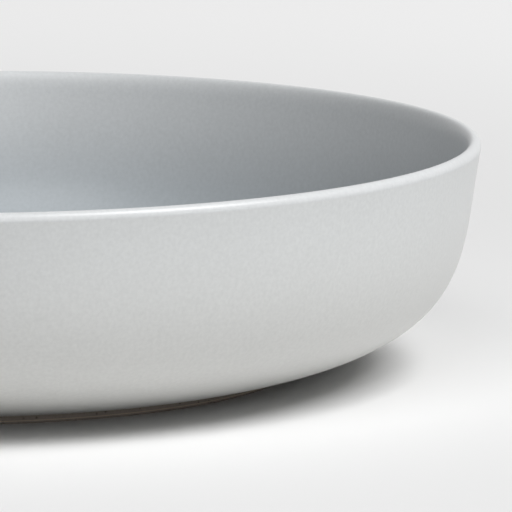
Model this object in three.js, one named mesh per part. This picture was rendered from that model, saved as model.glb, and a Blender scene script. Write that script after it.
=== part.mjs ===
// A low stoneware bowl on a bare clay foot ring, coated with a satin grey glaze.
// Millimetres, +Z up, origin on the table at the centre of the foot ring.
import * as THREE from "three";

const { Vector2 } = THREE;
const { degToRad, lerp } = THREE.MathUtils;

// Outside of the finished, glazed bowl
const rimDiameter = 216;
const height = 48;
const lipThickness = 3;
const wallLean = degToRad(11); // from upright, at the lip
const wallReach = 21.2; // how far the wall holds its lean below the lip
const undersideRise = degToRad(10); // from level, at the foot
const undersideReach = 38.4; // how far the underside holds its rise beyond the foot

// Foot ring
const footDiameter = 140; // where the glazed wall ends
const footHeight = 1.6; // bare height below the glaze
const footWidth = 5.4;
const footEdgeRadius = 0.5;

// Clay and coats
const wallThicknessAtFoot = 4.4; // glaze included, as are the two below
const baseThickness = 3.5;
const floorBlend = 14; // width of the curve from the floor into the wall
const glazeThickness = 0.4;
const bondGap = 0.02; // keeps neighbouring solids clear of each other

// Steps of the faceted surfaces
const turns = 64;
const wallSteps = 8;
const lipSteps = 6;
const floorSteps = 3;
const edgeSteps = 2;

// A unit vector in the plane of the outlines, where x is the radius and y the height.
function direction(angle) {
  return new Vector2(Math.cos(angle), Math.sin(angle));
}

// The point that lies a distance from another along a unit vector.
function beyond(point, along, distance) {
  return point.clone().addScaledVector(along, distance);
}

// Finished outer wall, from the foot to the side of the round lip.
const lipRadius = lipThickness / 2;
const lipCentre = new Vector2(rimDiameter / 2 - lipRadius, height - lipRadius);
const wallFoot = new Vector2(footDiameter / 2, footHeight);
const wallTop = beyond(lipCentre, direction(-wallLean), lipRadius);
const outerWall = new THREE.CubicBezierCurve(
  wallFoot,
  beyond(wallFoot, direction(undersideRise), undersideReach),
  beyond(wallTop, direction(-wallLean - Math.PI / 2), wallReach),
  wallTop,
);

// The point at a depth under the outer wall, at a share of the way from the foot to the lip.
function underWall(share, depth) {
  const along = outerWall.getTangent(share);
  const inward = new Vector2(-along.y, along.x);
  return beyond(outerWall.getPoint(share), inward, depth);
}

// Points at a depth under the finished outside, from the foot up to the lip.
function outside(depth) {
  const points = [];
  for (let step = 0; step <= wallSteps; step++) {
    points.push(underWall(step / wallSteps, depth));
  }
  return points;
}

// The point at a depth under the lip, at an angle up from level.
function underLip(angle, depth) {
  return beyond(lipCentre, direction(angle), lipRadius - depth);
}

// Points at a depth under the lip, from its widest point over its top to just short of the inner wall.
function overLip(depth) {
  const points = [];
  for (let step = 0; step < lipSteps; step++) {
    points.push(underLip((Math.PI * step) / lipSteps, depth));
  }
  return points;
}

// The clay lies under the coats, and its underside is level.
const clayDepth = glazeThickness + bondGap;
const clayOutside = outside(clayDepth);
const clayBottom = clayOutside[0].y;
const glazedBottom = clayBottom - clayDepth;
const floorHeight = glazedBottom + baseThickness;

// Points at a depth under the finished inside, from the lip down the wall and over the floor to the axis.
// The wall grows evenly thicker towards the foot.
function inside(depth) {
  const points = [];
  for (let step = wallSteps; step >= 0; step--) {
    const share = step / wallSteps;
    const thickness = lerp(wallThicknessAtFoot, lipThickness, share);
    points.push(underWall(share, thickness - depth));
  }
  const wallEnd = points.at(-1);
  const floorEdge = new Vector2(wallEnd.x - floorBlend, floorHeight - depth);
  const blendReach = floorBlend / 3;
  const blend = new THREE.CubicBezierCurve(
    wallEnd,
    beyond(wallEnd, direction(undersideRise), -blendReach),
    beyond(floorEdge, direction(0), blendReach),
    floorEdge,
  );
  const floorCentre = new Vector2(0, floorEdge.y);
  return [...points, ...blend.getPoints(floorSteps).slice(1), floorCentre];
}

// A named solid of revolution about Z. Its outline runs anticlockwise.
function turnedPiece(name, outline, material) {
  const geometry = new THREE.LatheGeometry(outline, turns).rotateX(Math.PI / 2);
  const mesh = new THREE.Mesh(geometry, material);
  mesh.name = name;
  return mesh;
}

function ceramic(color, roughness) {
  return new THREE.MeshStandardMaterial({ color, roughness, metalness: 0 });
}

// Fired clay wall, rim and floor.
function stonewareBody() {
  const outline = [new Vector2(0, clayBottom), ...clayOutside, ...overLip(clayDepth), ...inside(clayDepth)];
  return turnedPiece("stoneware_body", outline, ceramic("#b9a78f", 0.9));
}

// Ring of bare clay under the body, with both of its lower edges rounded.
const footOuter = clayOutside[0].x - bondGap;
const footInner = footOuter - footWidth;
const footTop = clayBottom - bondGap;

function roundedEdge(radius, startAngle) {
  const centre = new Vector2(radius, footEdgeRadius);
  const points = [];
  for (let step = 0; step <= edgeSteps; step++) {
    points.push(beyond(centre, direction(startAngle + (step / edgeSteps) * (Math.PI / 2)), footEdgeRadius));
  }
  return points;
}

function footRing() {
  const topInner = new Vector2(footInner, footTop);
  const outline = [
    topInner,
    ...roundedEdge(footInner + footEdgeRadius, Math.PI),
    ...roundedEdge(footOuter - footEdgeRadius, -Math.PI / 2),
    new Vector2(footOuter, footTop),
    topInner,
  ];
  return turnedPiece("foot_ring", outline, ceramic("#85705c", 0.9));
}

// Coat on the outer wall, from the foot ring to the side of the lip.
function outerGlaze() {
  const finished = outside(0);
  const outline = [...finished, ...outside(glazeThickness).reverse(), finished[0]];
  return turnedPiece("outer_glaze", outline, ceramic("#c6c8c7", 0.42));
}

// Coat on the floor, the inner wall and the lip, where it meets the outer coat.
function innerGlaze() {
  const seamAngle = bondGap / lipRadius - wallLean;
  const finished = [underLip(seamAngle, 0), ...overLip(0), ...inside(0)];
  const fused = [underLip(seamAngle, glazeThickness), ...overLip(glazeThickness), ...inside(glazeThickness)];
  return turnedPiece("inner_glaze", [...fused.reverse(), ...finished], ceramic("#c3c6c7", 0.42));
}

// Coat on the underside, within the foot ring.
function baseGlaze() {
  const radius = footInner - bondGap;
  const top = glazedBottom + glazeThickness;
  const outline = [
    new Vector2(0, glazedBottom),
    new Vector2(radius, glazedBottom),
    new Vector2(radius, top),
    new Vector2(0, top),
  ];
  return turnedPiece("base_glaze", outline, ceramic("#c1c4c4", 0.42));
}

const bowl = new THREE.Group();
bowl.add(stonewareBody(), footRing(), outerGlaze(), innerGlaze(), baseGlaze());

export default bowl;
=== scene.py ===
import math

import bpy
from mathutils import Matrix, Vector


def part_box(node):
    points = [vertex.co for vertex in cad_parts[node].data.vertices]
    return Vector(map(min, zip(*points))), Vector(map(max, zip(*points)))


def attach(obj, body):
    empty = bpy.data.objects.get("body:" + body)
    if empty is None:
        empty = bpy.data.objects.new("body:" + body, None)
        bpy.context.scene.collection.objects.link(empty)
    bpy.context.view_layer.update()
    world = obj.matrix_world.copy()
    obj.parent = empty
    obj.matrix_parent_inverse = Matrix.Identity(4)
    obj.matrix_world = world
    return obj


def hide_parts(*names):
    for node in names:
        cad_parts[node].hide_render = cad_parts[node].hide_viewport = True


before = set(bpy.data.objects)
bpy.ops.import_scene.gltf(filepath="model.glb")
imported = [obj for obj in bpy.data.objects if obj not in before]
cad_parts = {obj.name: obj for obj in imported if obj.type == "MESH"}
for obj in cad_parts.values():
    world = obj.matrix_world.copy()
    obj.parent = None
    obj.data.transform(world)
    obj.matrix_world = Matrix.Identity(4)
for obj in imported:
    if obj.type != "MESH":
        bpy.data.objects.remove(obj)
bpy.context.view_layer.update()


# Clay body
# The bowl's own wall, rim and floor: one shell of pale stoneware, shaped on a turning mould and fired hard.
# Glaze covers nearly all of it, so the clay shows only as a hairline where the coats end at the foot.
MM = 0.001
turns = 256
wall_steps = 48
lip_steps = 48
floor_steps = 24

rim_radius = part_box("inner_glaze")[1][0]
rim_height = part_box("inner_glaze")[1][2]
glaze_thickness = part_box("base_glaze")[1][2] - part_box("base_glaze")[0][2]
glazed_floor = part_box("inner_glaze")[0][2] + glaze_thickness
clay_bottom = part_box("stoneware_body")[0][2]
bond_gap = clay_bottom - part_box("base_glaze")[1][2]

lip_radius = 1.5 * MM
lip_depth = 2.8 * MM
wall_at_lip = 3.0 * MM
wall_lean = math.radians(11)
wall_reach = 21.2 * MM
foot_radius = 70 * MM
underside_rise = math.radians(10)
underside_reach = 38.4 * MM
wall_at_foot = 4.4 * MM
floor_blend = 14 * MM


def beyond(point, angle, distance):
    """The point at a distance from another, at an angle up from level."""
    return point + Vector((math.cos(angle), math.sin(angle))) * distance


def cubic(share, start, start_handle, end_handle, end):
    """The point on a cubic curve at a share of its way, and the curve's direction there."""
    left = 1 - share
    point = left**3 * start + 3 * left**2 * share * start_handle
    point += 3 * left * share**2 * end_handle + share**3 * end
    along = left**2 * (start_handle - start) + 2 * left * share * (end_handle - start_handle)
    along += share**2 * (end - end_handle)
    return point, along.normalized()


lip_centre = Vector((rim_radius - lip_radius, rim_height - lip_radius))
wall_foot = Vector((foot_radius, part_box("outer_glaze")[0][2]))
wall_top = beyond(lip_centre, -wall_lean, lip_radius)
outer_wall = (
    wall_foot,
    beyond(wall_foot, underside_rise, underside_reach),
    beyond(wall_top, -wall_lean - math.pi / 2, wall_reach),
    wall_top,
)


def under_curve(share, curve, depth):
    """The point at a depth under a cubic curve of the glazed surface, at a share of the curve's way."""
    point, along = cubic(share, *curve)
    return point + depth * Vector((-along.y, along.x))


def outside(depth):
    """Points at a depth under the glazed outside, from the foot up to the lip."""
    return [under_curve(step / wall_steps, outer_wall, depth) for step in range(wall_steps + 1)]


def over_lip(depth):
    """Points at a depth under the lip's round outer half, from the outer wall to its crest."""
    angles = [(math.pi / 2 + wall_lean) * step / lip_steps - wall_lean for step in range(1, lip_steps)]
    return [beyond(lip_centre, angle, lip_radius - depth) for angle in angles]


def behind_wall(step, depth):
    """The point at a depth under the glazed inside, where the wall grows evenly thicker towards the foot."""
    share = step / wall_steps
    thickness = wall_at_foot + (wall_at_lip - wall_at_foot) * share
    return under_curve(share, outer_wall, thickness - depth)


def inside(depth):
    """Points at a depth under the glazed inside, from the crest of the lip to the axis."""
    crest = beyond(lip_centre, math.pi / 2, lip_radius)
    joined = wall_steps
    while behind_wall(joined, 0).y > crest.y - lip_depth:
        joined -= 1
    wall_start = behind_wall(joined, 0)
    wall_slope = (wall_start - behind_wall(joined - 1, 0)).normalized()
    width = crest.x - wall_start.x
    fall = crest.y - wall_start.y
    inner_lip = (crest, beyond(crest, math.pi, width / 2), wall_start + wall_slope * fall / 2, wall_start)
    points = [under_curve(step / lip_steps, inner_lip, depth) for step in range(lip_steps + 1)]
    points += [behind_wall(step, depth) for step in range(joined - 1, -1, -1)]
    wall_end = points[-1]
    floor_edge = Vector((wall_end.x - floor_blend, glazed_floor - depth))
    reach = floor_blend / 3
    blend = (wall_end, beyond(wall_end, underside_rise, -reach), beyond(floor_edge, 0, reach), floor_edge)
    points += [cubic(step / floor_steps, *blend)[0] for step in range(1, floor_steps + 1)]
    points.append(Vector((0, floor_edge.y)))
    return points


def add(tree, kind, inputs=None, **settings):
    """Adds a node with its settings, and gives each named input a value or a link.
    Returns the node's outputs by name."""
    node = tree.nodes.new(kind)
    for name, value in settings.items():
        setattr(node, name, value)
    for name, value in (inputs or {}).items():
        socket = next(s for s in node.inputs if s.enabled and name in (s.identifier, s.name))
        if isinstance(value, bpy.types.NodeSocket):
            tree.links.new(value, socket)
        else:
            socket.default_value = value
    return {socket.name: socket for socket in node.outputs if socket.enabled}


def turning_tree():
    """Geometry nodes that sweep an outline, x out from the axis and y up, once around the bowl's rim."""
    tree = bpy.data.node_groups.new("turned_on_the_mould", "GeometryNodeTree")
    sockets = tree.interface
    sockets.new_socket("Outline", in_out="INPUT", socket_type="NodeSocketGeometry")
    sockets.new_socket("Rim radius", in_out="INPUT", socket_type="NodeSocketFloat")
    sockets.new_socket("Turns", in_out="INPUT", socket_type="NodeSocketInt")
    sockets.new_socket("Weld", in_out="INPUT", socket_type="NodeSocketFloat")
    sockets.new_socket("Finish", in_out="INPUT", socket_type="NodeSocketMaterial")
    sockets.new_socket("Piece", in_out="OUTPUT", socket_type="NodeSocketGeometry")
    given = add(tree, "NodeGroupInput")
    rim = add(tree, "GeometryNodeCurvePrimitiveCircle", {
        "Resolution": given["Turns"],
        "Radius": given["Rim radius"],
    })
    inward = add(tree, "ShaderNodeMath", {
        "Value": 0.0,
        "Value_001": given["Rim radius"],
    }, operation="SUBTRACT")
    to_rim = add(tree, "ShaderNodeCombineXYZ", {"X": inward["Value"]})
    # The sweep lays the outline's height downwards, so the outline is turned over first.
    section = add(tree, "GeometryNodeTransform", {
        "Geometry": given["Outline"],
        "Translation": to_rim["Vector"],
        "Scale": (1, -1, 1),
    })
    swept = add(tree, "GeometryNodeCurveToMesh", {
        "Curve": rim["Curve"],
        "Profile Curve": section["Geometry"],
    })
    welded = add(tree, "GeometryNodeMergeByDistance", {
        "Geometry": swept["Mesh"],
        "Distance": given["Weld"],
    })
    # The turned-over outline leaves the faces pointing inwards, so they are flipped.
    outward = add(tree, "GeometryNodeFlipFaces", {"Mesh": welded["Geometry"]})
    smooth = add(tree, "GeometryNodeSetShadeSmooth", {"Geometry": outward["Mesh"]})
    real = add(tree, "GeometryNodeRealizeInstances", {"Geometry": smooth["Geometry"]})
    coated = add(tree, "GeometryNodeSetMaterial", {
        "Geometry": real["Geometry"],
        "Material": given["Finish"],
    })
    add(tree, "NodeGroupOutput", {"Piece": coated["Geometry"]})
    return tree


turning = turning_tree()
weld_distance = 0.001 * MM
crease_angle = math.radians(40)


def turned(name, outline, closed, material):
    """A plain mesh piece, turned about Z from its outline, which is a loop or starts and ends on the axis."""
    curve = bpy.data.curves.new(name, "CURVE")
    curve.dimensions = "3D"
    spline = curve.splines.new("POLY")
    spline.points.add(len(outline) - 1)
    for place, point in zip(spline.points, outline):
        place.co = (point.x, point.y, 0, 1)
    spline.use_cyclic_u = closed
    drawn = bpy.data.objects.new(name + "_outline", curve)
    bpy.context.scene.collection.objects.link(drawn)
    modifier = drawn.modifiers.new("turned", "NODES")
    modifier.node_group = turning
    given = {"Rim radius": rim_radius, "Turns": turns, "Weld": weld_distance, "Finish": material}
    for socket in turning.interface.items_tree:
        if socket.name in given:
            modifier[socket.identifier] = given[socket.name]
    evaluated = drawn.evaluated_get(bpy.context.evaluated_depsgraph_get())
    mesh = bpy.data.meshes.new_from_object(evaluated)
    bpy.data.objects.remove(drawn)
    mesh.name = name
    mesh.set_sharp_from_angle(angle=crease_angle)
    piece = bpy.data.objects.new(name, mesh)
    bpy.context.scene.collection.objects.link(piece)
    return piece


def linear(colour):
    """A linear colour from an sRGB hex value."""
    shares = [int(colour[place:place + 2], 16) / 255 for place in (1, 3, 5)]
    return [s / 12.92 if s <= 0.04045 else ((s + 0.055) / 1.055) ** 2.4 for s in shares] + [1.0]


def empty_material(name):
    """A new material with nothing in its node tree."""
    material = bpy.data.materials.new(name)
    material.use_nodes = True
    material.node_tree.nodes.clear()
    return material


def fired_clay(name, dark, pale, grog, edge_highlight):
    """Bare stoneware as it leaves the kiln: a dry, matt, sandy surface of two close tones, with grains of
    crushed fired clay in it, the fine rings that the turning tool left, and a painted highlight: a paler line
    near the table where the lower edge catches the light. The sand is drawn coarser than it is, so that it
    shows."""
    sand_size = 0.5 * MM
    sand_detail = 3.0
    sand_depth = 0.03 * MM
    grog_spacing = 1.6 * MM
    grog_share = 0.22
    ring_spacing = 0.7 * MM
    ring_depth = 0.02 * MM
    highlight_height = 0.6 * MM
    highlight_width = 0.1 * MM
    material = empty_material(name)
    tree = material.node_tree
    place = add(tree, "ShaderNodeTexCoord")["Object"]
    sand = add(tree, "ShaderNodeTexNoise", {
        "Vector": place,
        "Scale": 1 / sand_size,
        "Detail": sand_detail,
    })["Fac"]
    two_tone = add(tree, "ShaderNodeMix", {
        "Factor": sand,
        "A": linear(dark),
        "B": linear(pale),
    }, data_type="RGBA")["Result"]
    grain = add(tree, "ShaderNodeTexVoronoi", {"Vector": place, "Scale": 1 / grog_spacing})["Distance"]
    is_grog = add(tree, "ShaderNodeMapRange", {
        "Value": grain,
        "From Min": grog_share,
        "From Max": 0.0,
    })["Result"]
    colour = add(tree, "ShaderNodeMix", {
        "Factor": is_grog,
        "A": two_tone,
        "B": linear(grog),
    }, data_type="RGBA")["Result"]
    height = add(tree, "ShaderNodeSeparateXYZ", {"Vector": place})["Z"]
    # A pale line is painted here as a highlight, where the foot's lower edge catches the light.
    is_painted_highlight = add(tree, "ShaderNodeMath", {
        "Value": height,
        "Value_001": highlight_height,
        "Value_002": highlight_width,
    }, operation="COMPARE")["Value"]
    with_painted_highlight = add(tree, "ShaderNodeMix", {
        "Factor": is_painted_highlight,
        "A": colour,
        "B": linear(edge_highlight),
    }, data_type="RGBA")["Result"]
    flat = add(tree, "ShaderNodeVectorMath", {
        "Vector": place,
        "Vector_001": (1, 1, 0),
    }, operation="MULTIPLY")["Vector"]
    radius = add(tree, "ShaderNodeVectorMath", {"Vector": flat}, operation="LENGTH")["Value"]
    turn = add(tree, "ShaderNodeMath", {
        "Value": radius,
        "Value_001": 2 * math.pi / ring_spacing,
    }, operation="MULTIPLY")["Value"]
    ring = add(tree, "ShaderNodeMath", {"Value": turn}, operation="SINE")["Value"]
    ringed = add(tree, "ShaderNodeBump", {"Height": ring, "Distance": ring_depth})["Normal"]
    rough = add(tree, "ShaderNodeBump", {
        "Height": sand,
        "Distance": sand_depth,
        "Normal": ringed,
    })["Normal"]
    shader = add(tree, "ShaderNodeBsdfPrincipled", {
        "Base Color": with_painted_highlight,
        "Roughness": 0.9,
        "IOR": 1.5,
        "Normal": rough,
    })
    add(tree, "ShaderNodeOutputMaterial", {"Surface": shader["BSDF"]})
    return material


clay_depth = glaze_thickness + bond_gap
clay_outline = [Vector((0, clay_bottom))] + outside(clay_depth) + over_lip(clay_depth) + inside(clay_depth)
pale_stoneware = fired_clay(
    "fired_pale_stoneware", dark="#ab987f", pale="#c3b39c", grog="#7d6a54", edge_highlight="#d2c4af")
clay_body = turned("clay_body", clay_outline, closed=False, material=pale_stoneware)
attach(clay_body, "root")
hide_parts("stoneware_body")


# Foot ring
# The low ring that the bowl stands on, turned in the same clay and left bare so as not to stick to the kiln
# shelf. It fires to a warm brown, its lower edges are sponged round, and a pale line is painted on as a
# highlight where the lower edge catches the light.
foot_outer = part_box("foot_ring")[1][0]
foot_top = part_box("foot_ring")[1][2]
foot_width = 5.4 * MM
foot_inner = foot_outer - foot_width
foot_edge = 0.5 * MM
edge_steps = 8


def arc(centre, radius, start_angle, turn):
    """Points on an arc, from an angle up from level through a turn."""
    angles = [start_angle + turn * step / edge_steps for step in range(edge_steps + 1)]
    return [beyond(centre, angle, radius) for angle in angles]


inner_edge = arc(Vector((foot_inner + foot_edge, foot_edge)), foot_edge, math.pi, math.pi / 2)
outer_edge = arc(Vector((foot_outer - foot_edge, foot_edge)), foot_edge, -math.pi / 2, math.pi / 2)
foot_outline = inner_edge + outer_edge + [Vector((foot_outer, foot_top)), Vector((foot_inner, foot_top))]
brown_stoneware = fired_clay(
    "bare_brown_stoneware", dark="#93897e", pale="#ada198", grog="#675d55", edge_highlight="#c4b7a7")
foot = turned("bare_foot", foot_outline, closed=True, material=brown_stoneware)
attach(foot, "root")
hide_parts("foot_ring")


# Outer glaze
# The coat of fused glass on the outer wall, poured over the fired clay and fired again to a satin grey.
# It stops just above the foot ring, where it drew up into a small round edge, and at the lip's side.
def satin_glaze(name, deep, pale, deep_height, pale_height):
    """Satin stoneware glaze: an even grey with a soft, wide shine. It drifts a little in tone, is mottled by
    its crystals and holds a few specks of iron, and it is painted deeper in tone low down and paler higher
    up, as painted shade.
    The crystals are drawn coarser than they are, so that they show."""
    drift_size = 35 * MM
    drift_share = 0.03
    mottle_size = 0.8 * MM
    mottle_detail = 4.0
    mottle_share = 0.095
    speck_spacing = 16 * MM
    speck_radius = 0.3 * MM
    speck_strength = 0.35
    speck_colour = "#6e675f"
    smoothest = 0.27
    roughest = 0.36
    ripple_size = 1.4 * MM
    ripple_depth = 0.004 * MM
    material = empty_material(name)
    tree = material.node_tree
    place = add(tree, "ShaderNodeTexCoord")["Object"]
    height = add(tree, "ShaderNodeSeparateXYZ", {"Vector": place})["Z"]
    # The tone is painted from deep low down to pale higher up, as painted shade that darkens the lower glaze.
    out_of_painted_shade = add(tree, "ShaderNodeMapRange", {
        "Value": height,
        "From Min": deep_height,
        "From Max": pale_height,
    }, interpolation_type="SMOOTHSTEP")["Result"]
    coat = add(tree, "ShaderNodeMix", {
        "Factor": out_of_painted_shade,
        "A": linear(deep),
        "B": linear(pale),
    }, data_type="RGBA")["Result"]
    drift = add(tree, "ShaderNodeTexNoise", {"Vector": place, "Scale": 1 / drift_size})["Fac"]
    mottle = add(tree, "ShaderNodeTexNoise", {
        "Vector": place,
        "Scale": 1 / mottle_size,
        "Detail": mottle_detail,
    })["Fac"]
    drift_tone = add(tree, "ShaderNodeMapRange", {
        "Value": drift,
        "To Min": 1 - drift_share,
        "To Max": 1 + drift_share,
    })["Result"]
    mottle_tone = add(tree, "ShaderNodeMapRange", {
        "Value": mottle,
        "To Min": 1 - mottle_share,
        "To Max": 1 + mottle_share,
    })["Result"]
    tone = add(tree, "ShaderNodeMath", {
        "Value": drift_tone,
        "Value_001": mottle_tone,
    }, operation="MULTIPLY")["Value"]
    toned = add(tree, "ShaderNodeVectorMath", {"Vector": coat, "Scale": tone}, operation="SCALE")["Vector"]
    iron = add(tree, "ShaderNodeTexVoronoi", {"Vector": place, "Scale": 1 / speck_spacing})["Distance"]
    speck = add(tree, "ShaderNodeMapRange", {
        "Value": iron,
        "From Min": speck_radius / speck_spacing,
        "From Max": speck_radius / speck_spacing / 2,
        "To Max": speck_strength,
    })["Result"]
    colour = add(tree, "ShaderNodeMix", {
        "Factor": speck,
        "A": toned,
        "B": linear(speck_colour),
    }, data_type="RGBA")["Result"]
    shine = add(tree, "ShaderNodeMapRange", {
        "Value": mottle,
        "To Min": smoothest,
        "To Max": roughest,
    })["Result"]
    ripple = add(tree, "ShaderNodeTexNoise", {"Vector": place, "Scale": 1 / ripple_size})["Fac"]
    surface = add(tree, "ShaderNodeBump", {"Height": ripple, "Distance": ripple_depth})["Normal"]
    shader = add(tree, "ShaderNodeBsdfPrincipled", {
        "Base Color": colour,
        "Roughness": shine,
        "IOR": 1.45,
        "Normal": surface,
    })
    add(tree, "ShaderNodeOutputMaterial", {"Surface": shader["BSDF"]})
    return material


edge_radius = glaze_thickness / 2
edge_centre = beyond(under_curve(0, outer_wall, edge_radius), underside_rise, edge_radius)
rolled_edge = arc(edge_centre, edge_radius, underside_rise + math.pi / 2, math.pi)
outer_outline = outside(0)[1:] + outside(glaze_thickness)[:0:-1] + rolled_edge
# The outside is painted a little darker and warmer towards the foot, as painted shade on the underside that
# turns away from the light.
outside_glaze = satin_glaze(
    "satin_glaze_outside", deep="#cfcfcc", pale="#d1d3d3", deep_height=3 * MM, pale_height=46 * MM)
outer_coat = turned("outer_coat", outer_outline, closed=True, material=outside_glaze)
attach(outer_coat, "root")
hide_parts("outer_glaze")


# Inner glaze
# The coat poured on the inside, from the floor up the wall and over the round lip to the outer coat.
# It is painted pale near the lip and deeper in tone lower in the bowl, as painted shade where less light
# reaches down inside.
finished = outside(0)[-1:] + over_lip(0) + inside(0)
fused = outside(glaze_thickness)[-1:] + over_lip(glaze_thickness) + inside(glaze_thickness)
# The deep tone low inside the bowl is painted shade.
inside_glaze = satin_glaze(
    "satin_glaze_inside", deep="#a7adb1", pale="#d0d2d3", deep_height=18 * MM, pale_height=42 * MM)
inner_coat = turned("inner_coat", fused[::-1] + finished, closed=False, material=inside_glaze)
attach(inner_coat, "root")
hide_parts("inner_glaze")


# Base glaze
# The disc of glaze under the bowl, inside the foot ring, clear of the table.
# It is brushed on with the outer coat, and drew back from the ring into the same small round edge.
base_low, base_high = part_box("base_glaze")
base_centre = Vector((base_high[0] - edge_radius, base_low[2] + edge_radius))
base_edge = arc(base_centre, edge_radius, -math.pi / 2, math.pi)
base_outline = [Vector((0, base_low[2]))] + base_edge + [Vector((0, base_high[2]))]
base_coat = turned("base_coat", base_outline, closed=False, material=outside_glaze)
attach(base_coat, "root")
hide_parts("base_glaze")


# Table top
# A wide sheet of matt white card under the bowl and far behind it, painted a little greyer under the bowl and
# whiter farther off, as painted light that evens out how the lamps' light falls off.
# It is large enough to fill the view, and it takes the bowl's shadow without any shine.
card_half = 3.0
near_colour = "#eaeaea"
near_reach = 0.2
far_colour = "#ffffff"
far_reach = 0.7
card_corners = [
    (-card_half, -card_half, 0),
    (card_half, -card_half, 0),
    (card_half, card_half, 0),
    (-card_half, card_half, 0),
]
card_mesh = bpy.data.meshes.new("white_card")
card_mesh.from_pydata(card_corners, [], [(0, 1, 2, 3)])
card = bpy.data.objects.new("white_card", card_mesh)
bpy.context.scene.collection.objects.link(card)
matt_card = empty_material("matt_white_card")
paper = matt_card.node_tree
card_place = add(paper, "ShaderNodeTexCoord")["Object"]
from_bowl = add(paper, "ShaderNodeVectorMath", {"Vector": card_place}, operation="LENGTH")["Value"]
# The card is painted greyer near the bowl and whiter farther off, as painted light that evens out the lamps'
# fall-off.
far_off = add(paper, "ShaderNodeMapRange", {
    "Value": from_bowl,
    "From Min": near_reach,
    "From Max": far_reach,
}, interpolation_type="SMOOTHSTEP")["Result"]
card_colour = add(paper, "ShaderNodeMix", {
    "Factor": far_off,
    "A": linear(near_colour),
    "B": linear(far_colour),
}, data_type="RGBA")["Result"]
card_shader = add(paper, "ShaderNodeBsdfDiffuse", {"Color": card_colour})
add(paper, "ShaderNodeOutputMaterial", {"Surface": card_shader["BSDF"]})
card_mesh.materials.append(matt_card)


# Studio light
# Three large diffusing screens light the bowl: the key high at the right, a weaker one high at the left front
# and a weak low one in front. Pale walls around them show in the glaze but hardly light the bowl.
wall_colour = "#ffffff"
wall_light = 0.03
wall_tone = 0.85
screen_distance = 5.0
world = bpy.data.worlds.new("studio")
bpy.context.scene.world = world
world.use_nodes = True
studio = world.node_tree
studio.nodes.clear()
ray = add(studio, "ShaderNodeLightPath")
seen_or_mirrored = add(studio, "ShaderNodeMath", {
    "Value": ray["Is Camera Ray"],
    "Value_001": ray["Is Glossy Ray"],
}, operation="MAXIMUM")["Value"]
shown = add(studio, "ShaderNodeMath", {
    "Value": seen_or_mirrored,
    "Value_001": ray["Is Transmission Ray"],
}, operation="MAXIMUM")["Value"]
level = add(studio, "ShaderNodeMapRange", {
    "Value": shown,
    "To Min": wall_light,
    "To Max": wall_tone,
})["Result"]
walls = add(studio, "ShaderNodeBackground", {"Color": linear(wall_colour), "Strength": level})
add(studio, "ShaderNodeOutputWorld", {"Surface": walls["Background"]})


def lit_screen(name, side_angle, height_angle, width, power):
    """A square lamp aimed at the bowl, at an angle right of the camera and an angle up from level."""
    side = math.radians(side_angle)
    rise = math.radians(height_angle)
    away = Vector((math.sin(side) * math.cos(rise), -math.cos(side) * math.cos(rise), math.sin(rise)))
    lamp = bpy.data.lights.new(name, "AREA")
    lamp.size = width
    lamp.energy = power
    screen = bpy.data.objects.new(name, lamp)
    screen.location = away * screen_distance
    screen.rotation_euler = (-away).to_track_quat("-Z", "Y").to_euler()
    bpy.context.scene.collection.objects.link(screen)


lit_screen("key_screen", side_angle=62, height_angle=55, width=2.8, power=236)
lit_screen("fill_screen", side_angle=-22, height_angle=53, width=3.0, power=64)
lit_screen("front_screen", side_angle=8, height_angle=13, width=2.0, power=26)


# Camera
# A long lens on a stand in front of the bowl, looking slightly down from above its rim.
# It is aimed right of the bowl's middle, so that the right part of the bowl fills the picture.
camera_back = 1.296
camera_height = 0.22844
camera_pan = math.radians(2.7084)
camera_tilt = math.radians(9.0247)
lens = bpy.data.cameras.new("camera")
lens.sensor_width = 36
lens.lens = 442.2
lens.clip_start = 0.01
camera = bpy.data.objects.new("camera", lens)
camera.location = (0, -camera_back, camera_height)
camera.rotation_euler = (math.pi / 2 - camera_tilt, 0, -camera_pan)
bpy.context.scene.collection.objects.link(camera)
bpy.context.scene.camera = camera
bpy.context.scene.view_settings.view_transform = "Standard"
